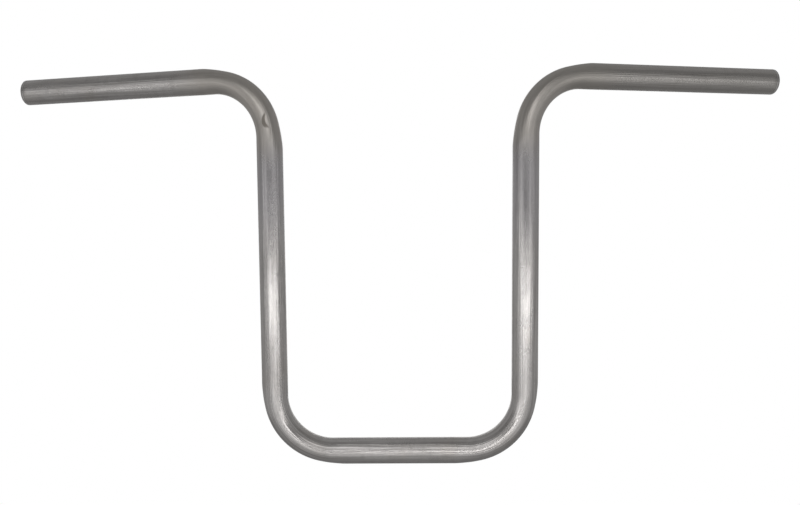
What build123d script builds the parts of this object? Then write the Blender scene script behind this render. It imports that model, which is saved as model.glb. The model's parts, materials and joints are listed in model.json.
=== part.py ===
from build123d import *

import os
from math import atan2, cos, degrees, hypot, pi, radians

# An ape hanger handlebar: one round steel tube, bent four times and sawn square at both ends.
# It stands as it does on the motorbike, with the origin in the middle of the clamped straight.
# X runs along that straight to the rider's left, Y runs back to the rider and Z is up.

# Tube, in millimetres
tube_diameter = 25.4
wall = 2.4

# Straights, each measured to where its bends begin
clamp_length = 130.0
upright_length = 250.0
grip_length = 210.0

# Bends, in millimetres and degrees
bend_radius = 57.0
upright_angle = 89.7
grip_drop_angle = 0.6
grip_pull_back_angle = 14.0

# Bending squeezes the round section: narrower in the bend's plane and wider across it.
# A squeeze ratio is the share of the diameter lost. Most of that is the outer wall pulled in,
# so the middle of the section moves inwards, by the shift ratio times the radius lost.
lower_squeeze_ratio = 0.07
upper_squeeze_ratio = 0.105
squeeze_shift_ratio = 0.8

# The squeeze sets in over this length, half of it on the straight and half on the bend
squeeze_run_in = 24.0

# Deburred ends
end_chamfer = 1.0
bore_chamfer = 0.5

# Sections that each run-in is lofted through
run_in_steps = 8

outer_radius = tube_diameter / 2
bore_radius = outer_radius - wall
squeeze_reach = squeeze_run_in / 2
FROM_FLOOR = (Align.CENTER, Align.CENTER, Align.MIN)

# What the squeeze leaves round of each straight
round_clamp_length = clamp_length - 2 * squeeze_reach
round_upright_length = upright_length - 2 * squeeze_reach
round_grip_length = grip_length - squeeze_reach


def round_run(length):
    """A round run of tube along Z, on a straight whose bend ends at the origin."""
    outside = Cylinder(outer_radius, length, align=FROM_FLOOR)
    bore = Cylinder(bore_radius, length, align=FROM_FLOOR)
    return Pos(Z=squeeze_reach) * (outside - bore)


def grip_run():
    """The round run that carries a grip, with its far rim deburred outside and in the bore."""
    run = round_run(round_grip_length)
    rims = run.edges().group_by(Axis.Z)[-1].sort_by(SortBy.RADIUS)
    run = chamfer(rims[-1], end_chamfer)
    rims = run.edges().group_by(Axis.Z)[-1].sort_by(SortBy.RADIUS)
    return chamfer(rims[0], bore_chamfer)


def along_bend(turn, distance):
    """The place this far along a bend that starts at the origin and turns from Z towards X."""
    past_start = max(distance, 0)
    on_bend = min(past_start, radians(turn) * bend_radius)
    turned = Rot(Y=degrees(on_bend / bend_radius))
    return Pos(X=bend_radius) * turned * Pos(X=-bend_radius, Z=distance - on_bend)


def end_of_bend(turn):
    """The place where a bend that starts at the origin runs into the next straight."""
    return along_bend(turn, radians(turn) * bend_radius)


def squeezed_wall(squeeze):
    """The outside and the bore of the tube, squeezed by this much towards the inside of a bend."""
    wide = outer_radius + squeeze
    narrow = outer_radius - squeeze
    shift = Pos(X=squeeze * squeeze_shift_ratio)
    outside = shift * Ellipse(wide, narrow, rotation=90)
    bore = shift * Ellipse(wide - wall, narrow - wall, rotation=90)
    return outside, bore


def bend(turn, squeeze_ratio):
    """The runs of a bend from Z towards X, with the squeezed ends of the straights beside it."""
    full_squeeze = outer_radius * squeeze_ratio

    # the squeeze rises smoothly through a loft, whose sections crowd together at both ends
    outsides = []
    bores = []
    for step in range(run_in_steps + 1):
        share = (1 - cos(pi * step / run_in_steps)) / 2
        outside, bore = squeezed_wall(full_squeeze * share**2 * (3 - 2 * share))
        place = along_bend(turn, squeeze_run_in * share - squeeze_reach)
        outsides.append(place * outside)
        bores.append(place * bore)
    run_in = loft(outsides) - loft(bores)

    # between the run-ins the fully squeezed section turns about the axis of the bend
    outside, bore = squeezed_wall(full_squeeze)
    lofted_turn = degrees((squeeze_run_in - squeeze_reach) / bend_radius)
    axis = Axis((bend_radius, 0, 0), (0, 1, 0))
    even_run = revolve(outside - bore, axis, turn - 2 * lofted_turn)
    even_run = along_bend(turn, squeeze_run_in - squeeze_reach) * even_run

    # the run-out is the run-in seen from the far end
    run_out = end_of_bend(turn) * mirror(run_in, about=Plane.XY)
    return [run_in, even_run, run_out]


# Where each part of one arm begins, following the tube outwards from the clamp
clamp_end = Plane(origin=(clamp_length / 2, 0, 0), x_dir=(0, 0, 1), z_dir=(1, 0, 0)).location
upright_foot = clamp_end * end_of_bend(upright_angle)
upright_top = upright_foot * Pos(Z=upright_length)

# The upper bend turns the upright into the grip's direction, which leans down and back
grip_direction = Vector(1, 0, 0).rotate(Axis.Y, grip_drop_angle).rotate(Axis.Z, grip_pull_back_angle)
heading = Plane(upright_top).to_local_coords(upright_top.position + grip_direction)
upper_bend_start = upright_top * Rot(Z=degrees(atan2(heading.Y, heading.X)))
grip_turn = degrees(atan2(hypot(heading.X, heading.Y), heading.Z))
grip_root = upper_bend_start * end_of_bend(grip_turn)

arm = [clamp_end * run for run in bend(upright_angle, lower_squeeze_ratio)]
arm += [upright_foot * round_run(round_upright_length)]
arm += [upper_bend_start * run for run in bend(grip_turn, upper_squeeze_ratio)]
arm += [grip_root * grip_run()]
clamp_run = clamp_end * Pos(Z=-clamp_length) * round_run(round_clamp_length)
handlebar = clamp_run + arm + [mirror(run, about=Plane.YZ) for run in arm]

os.makedirs("parts", exist_ok=True)
export_step(handlebar, "parts/handlebar_tube.step")

width = handlebar.bounding_box().size.X
height = handlebar.bounding_box().size.Z
print(f"{width:.1f} mm wide, {height:.1f} mm high, {handlebar.volume / 1000:.1f} cm3 of steel")
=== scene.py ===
# %% [markdown]
# # An ape hanger handlebar in raw steel
#
# The real bar is one length of seamless steel tube. A bender feeds it forward, bends it four
# times, and a saw squares its ends. This lesson makes it the same way: a ring of edges is fed
# along the tube's line by extrude and spin, and then gets its wall, its rims, its mark and its
# finish. The imported model is loaded first, because the tube's size, the grip's direction and the box
# come from it.

import json
from math import acos, atan2, ceil, cos, degrees, hypot, pi, radians, sin

import bmesh
import bpy
from mathutils import Matrix, Quaternion, Vector
from mathutils.kdtree import KDTree


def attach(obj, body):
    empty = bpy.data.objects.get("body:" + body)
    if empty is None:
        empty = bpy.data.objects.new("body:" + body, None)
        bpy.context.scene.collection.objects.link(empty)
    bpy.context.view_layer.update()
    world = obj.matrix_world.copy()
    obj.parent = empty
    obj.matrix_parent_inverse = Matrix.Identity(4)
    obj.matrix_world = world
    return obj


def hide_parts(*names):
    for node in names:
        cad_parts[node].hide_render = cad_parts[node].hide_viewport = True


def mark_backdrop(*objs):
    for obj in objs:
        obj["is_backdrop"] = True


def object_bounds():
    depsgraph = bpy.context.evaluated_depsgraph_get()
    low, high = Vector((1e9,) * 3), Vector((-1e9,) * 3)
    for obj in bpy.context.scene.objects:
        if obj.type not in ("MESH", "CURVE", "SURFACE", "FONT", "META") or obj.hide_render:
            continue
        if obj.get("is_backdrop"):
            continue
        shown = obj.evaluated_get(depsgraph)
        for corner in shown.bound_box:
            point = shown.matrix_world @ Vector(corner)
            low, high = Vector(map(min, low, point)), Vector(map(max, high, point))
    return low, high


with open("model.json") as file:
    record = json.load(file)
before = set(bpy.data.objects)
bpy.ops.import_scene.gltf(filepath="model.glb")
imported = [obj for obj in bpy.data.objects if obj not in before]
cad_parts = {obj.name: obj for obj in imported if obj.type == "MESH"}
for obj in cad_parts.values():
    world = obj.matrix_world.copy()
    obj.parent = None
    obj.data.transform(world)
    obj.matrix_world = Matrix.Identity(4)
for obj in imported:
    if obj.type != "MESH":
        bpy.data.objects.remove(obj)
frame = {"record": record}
cad_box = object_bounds()
mounts = {mount["name"]: mount for mount in frame["record"]["mounts"]}

# %% [markdown]
# ## The line of the tube
#
# A bent tube is known by its centre line: straights and round bends. It could be drawn as a
# curve with a bevel, but a curve object hides which ring of the mesh belongs to which part of
# the bend. Here each place on the line is a matrix: its Z axis runs along the tube and its X
# axis points to the inside of the next bend. The tube's radius, bore and grip direction are
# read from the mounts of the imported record, and the rest are the bender's own settings.

# %% Sizes, in metres and radians
tube_radius = mounts["riser_clamp"]["dims"]["r_mm"] / 1000
bore_radius = mounts["left_end_bore"]["dims"]["r_mm"] / 1000
wall = tube_radius - bore_radius
grip_direction = Vector(mounts["left_grip_seat"]["axis"])

clamp_length = 0.130
upright_length = 0.250
grip_length = 0.210
bend_radius = 0.057
upright_turn = radians(89.7)
print(f"tube {tube_radius * 2000:.1f} mm across, wall {wall * 1000:.1f} mm")

# %% Places along one arm
def along(distance):
    return Matrix.Translation((0, 0, distance))


def about_bend(turn):
    """A turn from Z towards X, about the centre of a bend that starts at the origin."""
    to_centre = Matrix.Translation((bend_radius, 0, 0))
    return to_centre @ Matrix.Rotation(turn, 4, "Y") @ to_centre.inverted()


# the clamped straight runs along X, and its bends turn upwards
axes = Matrix(((0, 0, 1, 0), (0, -1, 0, 0), (1, 0, 0, 0), (0, 0, 0, 1)))
clamp_end = axes @ along(clamp_length / 2)
upright_foot = clamp_end @ about_bend(upright_turn)
upright_top = upright_foot @ along(upright_length)

# the upper bend turns from the upright towards the grip
heading = upright_top.to_3x3().inverted() @ grip_direction
grip_twist = atan2(heading.y, heading.x)
grip_turn = acos(heading.z)
upper_bend = upright_top @ Matrix.Rotation(grip_twist, 4, "Z")
grip_root = upper_bend @ about_bend(grip_turn)
arm_length = clamp_length / 2 + (upright_turn + grip_turn) * bend_radius + upright_length + grip_length
print(f"upper bend turns {degrees(grip_turn):.2f} degrees, half the tube is {arm_length * 1000:.1f} mm")

# %% [markdown]
# ## The squeeze of the bends
#
# A tube that is bent cold doesn't stay round: its outer wall is pulled in, so the section gets
# narrower in the bend's plane and spreads a little across it. The upper bends show it more. The
# squeeze sets in over 24 mm, half on the straight and half on the bend, and an S-shaped rise
# keeps its start and end out of the reflections. The spread is less than half of the squeeze:
# more of it would put a bright patch on the front of each lower bend.

# %% Squeeze along the line
run_in = 0.024
squeeze_shift = 0.8
squeeze_spread = 0.4
lower_bend_start = clamp_length / 2
upper_bend_start = lower_bend_start + upright_turn * bend_radius + upright_length
bends = [
    (lower_bend_start, upright_turn * bend_radius, 0.07),
    (upper_bend_start, grip_turn * bend_radius, 0.105),
]


def squeeze_at(distance):
    """What the radius loses in the bend's plane at this distance from the middle of the bar."""
    squeeze = 0
    for start, length, ratio in bends:
        inside = min(distance - start, start + length - distance) + run_in / 2
        rise = min(max(inside / run_in, 0), 1)
        squeeze += tube_radius * ratio * rise**2 * (3 - 2 * rise)
    return squeeze


print(f"upper bend loses {squeeze_at(upper_bend_start + 0.04) * 2000:.2f} mm of its width")

# %% [markdown]
# ## Feeding a ring
#
# The tube starts as one circle of edges in the middle of the clamped straight. On a straight the
# ring is extruded forward, and in a bend it is spun about the bend's own axis, one short step at
# a time. After each step the ring is scaled and shifted to the squeeze of its place. Rings stand
# close together where the tube bends and far apart where it is straight.

# %% The first ring
ring_points = 96
bend_spacing = 0.002
straight_spacing = 0.008

bpy.ops.object.select_all(action="DESELECT")
bpy.ops.mesh.primitive_circle_add(vertices=ring_points, radius=tube_radius, rotation=(0, pi / 2, 0))
tube = bpy.context.object
tube.name = "bent_tube"
bpy.ops.object.transform_apply(rotation=True)
rings = [(0.0, axes)]
print("one ring of", len(tube.data.vertices), "points")


# %% Squeeze a ring that has just been fed
def finish_ring(distance, place):
    before = squeeze_at(rings[-1][0])
    now = squeeze_at(distance)
    if now != before:
        narrower = (tube_radius - now) / (tube_radius - before)
        wider = (tube_radius + now * squeeze_spread) / (tube_radius + before * squeeze_spread)
        across = place.to_3x3()
        bpy.ops.transform.resize(
            value=(narrower, wider, 1),
            orient_type="GLOBAL",
            orient_matrix=across,
            orient_matrix_type="GLOBAL",
            center_override=place @ Vector((before * squeeze_shift, 0, 0)),
        )
        bpy.ops.transform.translate(value=across @ Vector(((now - before) * squeeze_shift, 0, 0)))
    rings.append((distance, place))


# %% Feed forward and bend
def feed_straight(place, *spans):
    """Extrudes the ring along a straight that starts at place, in spans of (length, spacing)."""
    start = rings[-1][0]
    travelled = 0
    for length, spacing in spans:
        steps = ceil(length / spacing - 1e-6)
        for step in range(steps):
            travelled += length / steps
            forward = place.to_3x3() @ Vector((0, 0, length / steps))
            bpy.ops.mesh.extrude_region_move(TRANSFORM_OT_translate={"value": forward})
            finish_ring(start + travelled, place @ along(travelled))


def feed_bend(place, turn):
    """Spins the ring round a bend that starts at place. With no window, spin turns backwards."""
    start = rings[-1][0]
    steps = ceil(turn * bend_radius / bend_spacing)
    centre = place @ Vector((bend_radius, 0, 0))
    axis = place.to_3x3() @ Vector((0, 1, 0))
    for step in range(1, steps + 1):
        bpy.ops.mesh.spin(steps=1, angle=-turn / steps, center=centre, axis=axis)
        turned = turn * step / steps
        finish_ring(start + turned * bend_radius, place @ about_bend(turned))


# %% Bend one arm
half_run_in = (run_in / 2, bend_spacing)
half_upright = (upright_length / 2 - run_in / 2, straight_spacing)
upright_middle = upper_bend @ along(-upright_length / 2)

bpy.ops.object.mode_set(mode="EDIT")
feed_straight(axes, (clamp_length / 2 - run_in / 2, straight_spacing), half_run_in)
feed_bend(clamp_end, upright_turn)
feed_straight(upright_foot, half_run_in, half_upright)
feed_straight(upright_middle, half_upright, half_run_in)
feed_bend(upper_bend, grip_turn)
feed_straight(grip_root, half_run_in, (grip_length - run_in / 2, straight_spacing))
bpy.ops.object.mode_set(mode="OBJECT")
print(len(rings), "rings along one arm,", len(tube.data.polygons), "faces")

# %% [markdown]
# ## Both arms, the wall and the rims
#
# The two arms mirror each other, so the Mirror modifier makes the second. The seam in the middle
# is merged and the normals are set outwards before Solidify gives the tube its wall, which grows
# inwards so that the outside keeps its size. A saw leaves a burr, and the maker breaks it with a
# file: the bevels round the outer edge and the bore's edge at both ends.

# %% Mirror the arm and close the seam
mirrored = tube.modifiers.new("second_arm", "MIRROR")
mirrored.use_axis = (True, False, False)
mirrored.merge_threshold = 1e-5
bpy.ops.object.modifier_apply(modifier=mirrored.name)

bpy.ops.object.mode_set(mode="EDIT")
bpy.ops.mesh.select_all(action="SELECT")
bpy.ops.mesh.remove_doubles(threshold=1e-5)
bpy.ops.mesh.normals_make_consistent(inside=False)
bpy.ops.object.mode_set(mode="OBJECT")

thickness = tube.modifiers.new("wall", "SOLIDIFY")
thickness.thickness = wall
thickness.offset = -1
thickness.use_even_offset = True
bpy.ops.object.modifier_apply(modifier=thickness.name)
print(len(tube.data.polygons), "faces with the wall")


# %% Break the edges of both ends
def break_edges(radius, size):
    """Bevels the circle of this radius at the two sawn ends."""
    to_grip = grip_root.inverted()
    bpy.ops.object.mode_set(mode="EDIT")
    bpy.ops.mesh.select_mode(type="EDGE")
    bpy.ops.mesh.select_all(action="DESELECT")
    edit = bmesh.from_edit_mesh(tube.data)
    on_rim = set()
    for vert in edit.verts:
        seen = to_grip @ Vector((abs(vert.co.x), vert.co.y, vert.co.z))
        if abs(seen.z - grip_length) < 1e-4 and abs(hypot(seen.x, seen.y) - radius) < 1e-4:
            on_rim.add(vert)
    rim = [edge for edge in edit.edges if on_rim.issuperset(edge.verts)]
    for edge in rim:
        edge.select_set(True)
    bmesh.update_edit_mesh(tube.data)
    bpy.ops.mesh.bevel(offset_type="OFFSET", offset=size, segments=3, profile=0.5, affect="EDGES")
    bpy.ops.object.mode_set(mode="OBJECT")
    print(len(rim), "rim edges broken by", size * 1000, "mm")


end_bevel = 0.001
bore_bevel = 0.0005
break_edges(tube_radius, end_bevel)
break_edges(bore_radius, bore_bevel)

# %% [markdown]
# ## Where each point lay before bending
#
# Drawing a tube through a die leaves fine lines along it, and bending carries them round the
# corners. To follow them, any point of the bar can be led back to the place that it had in the
# straight tube: two numbers across the section and one along the length. A tree of the ring
# centres finds the ring of a point, and the twist between the lower and upper bend is undone.

# %% Unbending a point
centres = KDTree(len(rings))
for index, (distance, place) in enumerate(rings):
    centres.insert(place.translation, index)
centres.balance()
upright_half_way = upper_bend_start - upright_length / 2


def unbend(point):
    """The place of a point of the bar in the straight tube, whose middle is the origin."""
    on_left_arm = Vector((abs(point.x), point.y, point.z))
    distance, place = rings[centres.find(on_left_arm)[1]]
    seen = place.inverted() @ on_left_arm
    if distance > upright_half_way:
        seen = Matrix.Rotation(grip_twist, 4, "Z") @ seen
    seen.z = (seen.z + distance) * (1 if point.x > 0 else -1)
    return seen


print(f"the tip was {unbend(Vector(cad_box[1])).z * 1000:.0f} mm from the middle")

# %% [markdown]
# ## The tool mark
#
# Where the right upper bend leaves its upright, the bending tool has bitten into the front of
# the tube. The mark is a comma about 14 mm long: a thin tail up the bend and a broader head
# below, steep on its outer side and shallow towards the inside of the bar. A painted spot would
# look flat in a side light. So the faces round it are subdivided, smoothly, so that the tube
# stays round, and their vertices are pushed in. An attribute notes where the mark is painted
# dark, partly as oxide in the pit and partly as painted shade, and where its side is painted
# bright as a highlight.

# %% Finer faces round the mark
mark_distance = -0.4186
mark_angle = radians(99)
mark_reach = 0.013


def mark_place(vert):
    """How far a vertex lies from the mark, up the bend and across it towards the bar's middle."""
    seen = unbend(vert.co)
    around = (atan2(seen.y, seen.x) - mark_angle + pi) % (2 * pi) - pi
    return mark_distance - seen.z, -around * tube_radius


bpy.ops.object.mode_set(mode="EDIT")
bpy.ops.mesh.select_mode(type="FACE")
bpy.ops.mesh.select_all(action="DESELECT")
edit = bmesh.from_edit_mesh(tube.data)
for face in edit.faces:
    middle = face.calc_center_median()
    if middle.x < 0 and middle.y < -bore_radius * 0.7 and face.normal.y < -0.3 and middle.z > 0.25:
        up, inwards = mark_place(face.verts[0])
        face.select_set(hypot(up, inwards) < mark_reach)
bmesh.update_edit_mesh(tube.data)
bpy.ops.mesh.subdivide(number_cuts=4, smoothness=1)
marked = [vert.index for vert in bmesh.from_edit_mesh(tube.data).verts if vert.select]
bpy.ops.object.mode_set(mode="OBJECT")
print(len(marked), "vertices round the mark")

# %% Push the mark in
def step_up(value, low, high):
    share = min(max((value - low) / (high - low), 0), 1)
    return share**2 * (3 - 2 * share)


mark_tail = 0.0095
mark_head = 0.013
mark_end = 0.0175
tail_width = 0.001
mark_flare = 0.08
mark_curve = 66


def mark_shape(up, inwards):
    """How strong the mark is at this place along it, its half width and the place across it."""
    from_tail = mark_tail - up
    strength = step_up(from_tail, 0, 0.005) * step_up(from_tail, mark_end, mark_head)
    return strength, tail_width + mark_flare * max(from_tail, 0), inwards - mark_curve * up**2


def bite(up, inwards):
    """The depth of the mark, from 0 to 1, at a place on the tube."""
    strength, width, across = mark_shape(up, inwards)
    return strength * step_up(across, -width, 0) * step_up(across, 2.5 * width, 0)


def mark_oxide_and_painted_light(up, inwards):
    """How far the mark is painted dark, above 0, as oxide and painted shade, or painted bright, below
    0, as a painted highlight, at a place on the tube.
    """
    strength, width, across = mark_shape(up, inwards)
    oxide_and_shade = step_up(abs(across), 1.5 * width, 0.5 * width)
    painted_highlight = step_up(abs(across - 2.2 * width), width, 0)
    return strength * (oxide_and_shade - 0.3 * painted_highlight)


mark_depth = 0.0002
oxide_and_painted_light = tube.data.attributes.new("oxide_and_painted_light", "FLOAT", "POINT")
normals = [vert.normal.copy() for vert in tube.data.vertices]
for index in marked:
    vert = tube.data.vertices[index]
    place = mark_place(vert)
    vert.co -= normals[index] * bite(*place) * mark_depth
    oxide_and_painted_light.data[index].value = mark_oxide_and_painted_light(*place)
print(f"blackened by {max(item.value for item in oxide_and_painted_light.data):.2f} at most")

# %% [markdown]
# ## Lines that follow the bends
#
# The finish has to know where each point lay in the straight tube. A UV map could hold that, but
# it would have a seam along the tube. A vector for each vertex has none. Its part across the
# section is as long as the tube's radius everywhere, so that the drawn lines don't crowd where
# the bends are squeezed.

# %% Straight-tube coordinates
unbent = tube.data.attributes.new("unbent", "FLOAT_VECTOR", "POINT")
for vert in tube.data.vertices:
    seen = unbend(vert.co)
    outwards = Vector((seen.x, seen.y, 0)).normalized()
    unbent.data[vert.index].vector = outwards * tube_radius + Vector((0, 0, seen.z))
print("unbent tube,", round(arm_length * 2000), "mm long")

# %% [markdown]
# ## Into the shared frame
#
# The tube is shaded smooth, and only the edges of the sawn ends stay crisp. It then takes the
# place of the imported tube, which is hidden, and rides on the same body.

# %% Smooth shading and the frame
bpy.ops.object.select_all(action="DESELECT")
tube.select_set(True)
bpy.context.view_layer.objects.active = tube
bpy.ops.object.shade_smooth_by_angle(angle=radians(40))
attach(tube, "root")
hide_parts("handlebar_tube")
print(tube.name, "stands in for handlebar_tube")

# %% [markdown]
# ## Raw steel
#
# Bare tube from the mill is neither polished nor painted. It is satin, drawn lines run along it,
# and oil, heat and handling leave soft warm and cool stains. One metal shader carries it all.
# Shader maths is written as Python expressions: the small class below wraps a socket, and each
# operator adds the Math node that it stands for.

# %% Shader maths as expressions
class Shade:
    """A node's output in a node tree, for use in expressions."""

    def __init__(self, tree, socket=None):
        self.tree = tree
        self.socket = socket

    def node(self, kind, settings=None, sockets=None, output=0):
        """A new node: its settings first, then the values or links of its sockets."""
        made = self.tree.nodes.new(kind)
        for name, value in (settings or {}).items():
            setattr(made, name, value)
        for name, value in (sockets or {}).items():
            if isinstance(value, Shade):
                self.tree.links.new(value.socket, made.inputs[name])
            else:
                made.inputs[name].default_value = value
        return Shade(self.tree, made.outputs[output] if made.outputs else None)

    def maths(self, operation, first, second):
        return self.node("ShaderNodeMath", {"operation": operation}, {0: first, 1: second})

    def __add__(self, other):
        return self.maths("ADD", self, other)

    def __sub__(self, other):
        return self.maths("SUBTRACT", self, other)

    def __rsub__(self, other):
        return self.maths("SUBTRACT", other, self)

    def __mul__(self, other):
        return self.maths("MULTIPLY", self, other)

    __radd__ = __add__
    __rmul__ = __mul__

    def rise(self, low, high):
        """0 below low and 1 above high, with a smooth step between; low may be the larger."""
        sockets = {"Value": self, "From Min": low, "From Max": high}
        return self.node("ShaderNodeMapRange", {"interpolation_type": "SMOOTHSTEP"}, sockets)


# %% A blank metal
steel = bpy.data.materials.new("raw_steel")
steel.use_nodes = True
steel.node_tree.nodes.clear()
graph = Shade(steel.node_tree)
tube.data.materials.clear()
tube.data.materials.append(steel)


def stretched(coordinates, scale):
    """The coordinates scaled differently each way."""
    return graph.node("ShaderNodeVectorMath", {"operation": "MULTIPLY"}, {0: coordinates, 1: scale})


def noise(coordinates, scale, detail=2.0):
    """Noise between 0 and 1, with this many features to the metre each way."""
    sockets = {"Vector": stretched(coordinates, scale), "Scale": 1.0, "Detail": detail}
    return graph.node("ShaderNodeTexNoise", None, sockets)


def tinted(amount, colour, under):
    """One colour laid over another by an amount from 0 to 1."""
    return graph.node("ShaderNodeMix", {"data_type": "RGBA"}, {0: amount, 6: under, 7: colour}, 2)


# %% [markdown]
# ### Drawn lines and stains
#
# Three noises, stretched along the unbent tube, make the die's lines: hair lines, lines of about
# 3 mm and bands of nearly a centimetre. Two slower noises on Object coordinates make the stains
# and a fine mottling that also dulls the metal. The upper bends are a little warmer, where the
# bender's oil stayed, the uprights are cooler just below them, and the left grip is browner.

# %% Lines and stains
straight = graph.node("ShaderNodeAttribute", {"attribute_name": "unbent"}, output="Vector")
place_on_bar = graph.node("ShaderNodeTexCoord", output="Object")
fine_lines = noise(straight, (1500, 1500, 14), 0.0)
drawn_lines = noise(straight, (330, 330, 12), 2.0)
broad_lines = noise(straight, (110, 110, 7), 1.0)
stains = noise(place_on_bar, (30, 30, 30), 3.0)
mottle = noise(place_on_bar, (130, 130, 70), 3.0)

# %% Warm, cool and brown places
along_tube = graph.node("ShaderNodeSeparateXYZ", None, {0: straight}, 2)
from_middle = graph.node("ShaderNodeMath", {"operation": "ABSOLUTE"}, {0: along_tube})
upper_bend_end = upper_bend_start + grip_turn * bend_radius
on_upper_bend = from_middle.rise(upper_bend_start - 0.03, upper_bend_start + 0.01)
on_upper_bend = on_upper_bend * from_middle.rise(upper_bend_end + 0.05, upper_bend_end)
below_bend = from_middle.rise(upper_bend_start - 0.12, upper_bend_start - 0.05)
below_bend = below_bend * from_middle.rise(upper_bend_start, upper_bend_start - 0.03)
left_grip = along_tube.rise(upper_bend_start, upper_bend_end)

# %% Colour of the metal
colour = tinted(drawn_lines.rise(0.25, 0.75), (0.62, 0.6, 0.588, 1), (0.45, 0.43, 0.418, 1))
colour = tinted(broad_lines.rise(0.4, 0.7) * 0.4, (0.6, 0.575, 0.562, 1), colour)
colour = tinted(stains.rise(0.5, 0.75) * 0.3, (0.5, 0.46, 0.42, 1), colour)
colour = tinted(mottle.rise(0.48, 0.68) * 0.3, (0.4, 0.385, 0.372, 1), colour)
colour = tinted(on_upper_bend * 0.5, (0.5, 0.462, 0.41, 1), colour)
colour = tinted(below_bend * 0.5, (0.53, 0.513, 0.54, 1), colour)
colour = tinted(left_grip * 0.45, (0.42, 0.4, 0.368, 1), colour)
print(len(steel.node_tree.nodes), "nodes for the lines and stains")

# %% [markdown]
# ### Painted light and the tool mark
#
# Some of these colours are painted light. The left upright has a paler band along its inner
# front, a painted highlight. The last 4 mm of both ends are painted darker as shade, with one
# painted bright ring as the highlight of the broken edge. The tool mark is darkened in its pit,
# partly as oxide and partly as painted shade, and its shallow side is painted bright as a
# highlight. Each is a soft mask that lays one more colour on the metal.

# %% Painted highlight band
to_inside = graph.node("ShaderNodeSeparateXYZ", None, {0: straight}, 0)
to_front = graph.node("ShaderNodeSeparateXYZ", None, {0: straight}, 1)
highlight_band_across = to_inside.rise(0.002, 0.0055) * to_inside.rise(0.0105, 0.0075) * to_front.rise(0, 0.006)
highlight_band_along = along_tube.rise(0.11, 0.18) * along_tube.rise(0.39, 0.3)
painted_highlight_band = highlight_band_across * highlight_band_along
# A painted highlight: a paler band on the left upright's inner front, where a reflection falls.
colour = tinted(painted_highlight_band * 0.45, (0.76, 0.738, 0.722, 1), colour)

# %% Painted shade and a highlight ring at the ends, and the tool mark
to_end = arm_length - from_middle
end_shade_length = 0.0044
ring_start = 0.0034
ring_end = 0.0014
# Painted shade on the last 4.4 mm of both ends, and a painted highlight ring between 1.4 and 3.4 mm
# from the end.
painted_end_shade = to_end.rise(end_shade_length, ring_start)
painted_end_highlight = to_end.rise(ring_start, ring_start - 0.0006) * to_end.rise(ring_end, ring_end + 0.0006)
colour = tinted(painted_end_shade * 0.4, (0.2, 0.195, 0.19, 1), colour)
colour = tinted(painted_end_highlight * 0.55, (0.8, 0.78, 0.765, 1), colour)

oxide_and_painted_light_at = graph.node("ShaderNodeAttribute", {"attribute_name": "oxide_and_painted_light"}, output="Fac")
# The mark's dark is partly oxide in its pit and partly painted shade; its bright side is a painted
# highlight.
colour = tinted(oxide_and_painted_light_at.rise(0, 1) * 0.85, (0.14, 0.125, 0.108, 1), colour)
colour = tinted(oxide_and_painted_light_at.rise(0, -1) * 0.6, (0.8, 0.77, 0.74, 1), colour)
print(len(steel.node_tree.nodes), "nodes with the wear")

# %% [markdown]
# ### The finished metal
#
# Drawn steel spreads a highlight across its lines and keeps it sharp along them. An anisotropic
# shader could do that, but its direction would have to turn with the bends. Here the fine lines
# themselves, as a very shallow relief, break up the reflections in the same way.

# %% The finished metal
roughness = 0.15 + 0.07 * drawn_lines + 0.06 * broad_lines + 0.08 * mottle + 0.1 * on_upper_bend
relief = fine_lines + 1.4 * drawn_lines
relief_height = 0.00018
shallow = {"Strength": 1.0, "Distance": relief_height, "Height": relief}
bump = graph.node("ShaderNodeBump", None, shallow, "Normal")
metal = graph.node(
    "ShaderNodeBsdfPrincipled",
    None,
    {"Base Color": colour, "Metallic": 1.0, "Roughness": roughness, "Normal": bump},
)
graph.node("ShaderNodeOutputMaterial", None, {"Surface": metal})
print(len(steel.node_tree.nodes), "nodes in the steel")

# %% [markdown]
# ## A light tent
#
# Shiny metal shows its surroundings, so the light is mostly a matter of what stands round it.
# The world is plain white, and so is the ground of the picture. White on every side would make
# the bar's edges vanish, so it hangs in a dim grey tent, open at the back, that only its
# reflections see: the walls stand for a workshop. The faces of one cube make the tent.

# %% World
world = bpy.data.worlds.new("white")
world.use_nodes = True
world.node_tree.nodes["Background"].inputs["Color"].default_value = (1, 1, 1, 1)
world.node_tree.nodes["Background"].inputs["Strength"].default_value = 1
bpy.context.scene.world = world
bpy.context.scene.view_settings.view_transform = "Standard"

# %% Tent
tent_low = Vector((-1.7, -2.0, -0.9))
tent_high = Vector((1.7, 4.5, 1.6))
wall_top = 0.4
wall_middle = -0.1

bpy.ops.object.select_all(action="DESELECT")
bpy.ops.mesh.primitive_cube_add(size=1, location=(tent_low + tent_high) / 2, scale=tent_high - tent_low)
tent = bpy.context.object
tent.name = "tent"
bpy.ops.object.transform_apply(location=True, scale=True)
bpy.ops.object.mode_set(mode="EDIT")
bpy.ops.mesh.select_mode(type="FACE")
bpy.ops.mesh.select_all(action="DESELECT")
edit = bmesh.from_edit_mesh(tent.data)
for face in edit.faces:
    face.select_set(face.normal.y > 0.9)
bmesh.update_edit_mesh(tent.data)
bpy.ops.mesh.delete(type="FACE")
bpy.ops.mesh.select_all(action="SELECT")
bpy.ops.mesh.bisect(plane_co=(0, 0, wall_top), plane_no=(0, 0, 1))
bpy.ops.mesh.select_all(action="SELECT")
bpy.ops.mesh.bisect(plane_co=(0, wall_middle, 0), plane_no=(0, 1, 0))
bpy.ops.object.mode_set(mode="OBJECT")
tent.visible_camera = False
tent.visible_diffuse = False
tent.visible_shadow = False
print("tent of", len(tent.data.polygons), "walls, open at the back")


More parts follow.
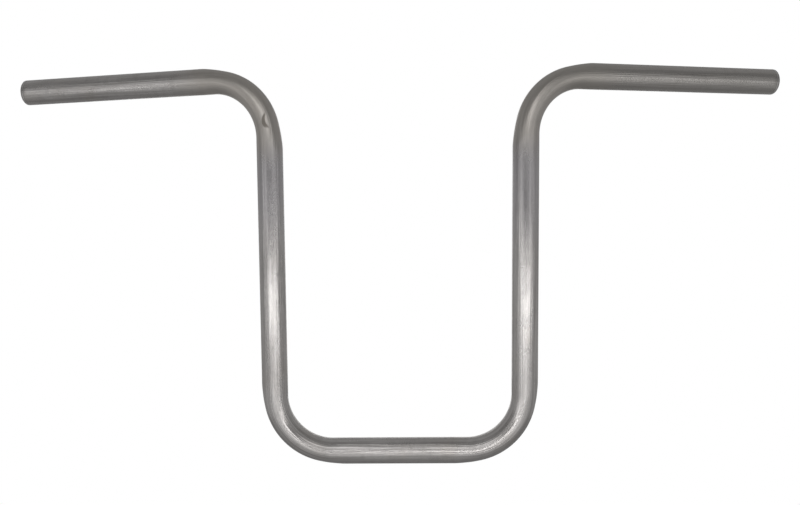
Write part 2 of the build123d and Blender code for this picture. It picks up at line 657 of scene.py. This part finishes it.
# %% Cloth for the tent
def glowing(name, brightness):
    """A cloth that glows evenly; brightness 1 looks white."""
    material = bpy.data.materials.new(name)
    material.use_nodes = True
    material.node_tree.nodes.clear()
    cloth = Shade(material.node_tree)
    glow = cloth.node("ShaderNodeEmission", None, {"Color": (brightness, brightness, brightness, 1)})
    cloth.node("ShaderNodeOutputMaterial", None, {"Surface": glow})
    return material


# %% Hang the cloth
tent_walls = {
    "front_wall": (0.18, lambda face: face.normal.y < -0.9),
    "bottom_front": (0.31, lambda face: face.normal.z < -0.9 and face.center.y < wall_middle),
    "bottom_rear": (0.24, lambda face: face.normal.z < -0.9),
    "top_front": (0.23, lambda face: face.normal.z > 0.9 and face.center.y < wall_middle),
    "top_rear": (0.32, lambda face: face.normal.z > 0.9),
    "lower_side": (0.36, lambda face: face.center.z < wall_top),
    "upper_front": (0.2, lambda face: face.center.y < wall_middle),
    "upper_rear": (0.35, lambda face: True),
}
for name, (brightness, belongs) in tent_walls.items():
    tent.data.materials.append(glowing(name, brightness))
for face in tent.data.polygons:
    face.material_index = [belongs(face) for brightness, belongs in tent_walls.values()].index(True)
print(len(tent.data.materials), "shades of cloth")

# %% [markdown]
# ### Floor and lamps
#
# The pale floor lies below the picture and takes the bar's soft shadow in other views. The lamps
# stand on the camera's side, as in a small studio: two strips draw the bright line along the base
# and the hot spots on the uprights, and broad dim panels fill the rest. Each lamp stands at its
# own depth, because lamps that share a plane take light from each other.

# %% Floor
floor_height = -0.45
bpy.ops.object.select_all(action="DESELECT")
floor_middle = (0, 0.1, floor_height)
bpy.ops.mesh.primitive_circle_add(vertices=128, radius=0.95, fill_type="NGON", location=floor_middle)
floor = bpy.context.object
floor.name = "floor"
floor.visible_glossy = False
pale = bpy.data.materials.new("pale_floor")
pale.use_nodes = True
pale.node_tree.nodes["Principled BSDF"].inputs["Base Color"].default_value = (0.93, 0.93, 0.93, 1)
pale.node_tree.nodes["Principled BSDF"].inputs["Roughness"].default_value = 0.8
floor.data.materials.append(pale)
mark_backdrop(tent, floor)
print("floor", -floor_height, "m below the clamped straight")


# %% Lamps
def panel(name, place, width, tall, brightness):
    """A soft lamp on the camera's side that faces along Y; brightness 1 looks white."""
    bpy.ops.object.light_add(type="AREA", location=place, rotation=(pi / 2, 0, 0))
    lamp = bpy.context.object
    lamp.name = name
    lamp.data.shape = "RECTANGLE"
    lamp.data.size = width
    lamp.data.size_y = tall
    lamp.data.energy = pi * width * tall * brightness
    lamp.visible_camera = False
    print(name, "gives", round(lamp.data.energy, 2), "W")


panel("long_strip", (-0.1, -0.89, 0.035), 3.2, 0.1, 1.2)
panel("middle_strip", (0.1, -0.9, 0.042), 1.4, 0.075, 2.8)
panel("lower_soft", (0, -0.91, -0.22), 1.3, 0.32, 0.57)
panel("lower_fill", (0, -0.92, -0.6), 3.4, 0.6, 0.2)
panel("upper_soft", (0, -0.91, 0.78), 0.9, 0.72, 0.95)
panel("left_fill", (-1.15, -0.92, 0.52), 1.1, 0.9, 0.33)
panel("right_fill", (1.15, -0.92, 0.52), 1.1, 0.9, 0.25)

# %% [markdown]
# ## Camera
#
# The photograph was taken from the front, a little above the middle of the bar and very slightly
# tilted. The camera's place, tilt and lens were found by matching the tube's outline in the
# photograph, and a small shift puts the bar where the photograph frames it.

# %% Camera
bpy.ops.object.camera_add(location=(-0.0142, -0.8774, 0.2446))
camera = bpy.context.object
looks_at = Vector((-0.0372, 0, 0.1905))
aim = (looks_at - camera.location).to_track_quat("-Z", "Y")
camera.rotation_euler = (aim @ Quaternion((0, 0, 1), radians(-0.65))).to_euler()
camera.data.lens = 40.74
camera.data.sensor_width = 36
camera.data.shift_x = 0.05
camera.data.shift_y = 0.0059
bpy.context.scene.camera = camera
print(f"lens {camera.data.lens:.1f} mm, {(looks_at - camera.location).length:.2f} m from the bar")

# %% [markdown]
# ## Sizes
#
# Looks must not change the size: the dressed bar should fit the box of the imported model. Both
# boxes are printed.

# %% Print both sizes
dressed_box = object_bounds()
for name, (low, high) in (("CAD", cad_box), ("visual", dressed_box)):
    print(name, [round((b - a) * 1000, 2) for a, b in zip(low, high)], "mm")
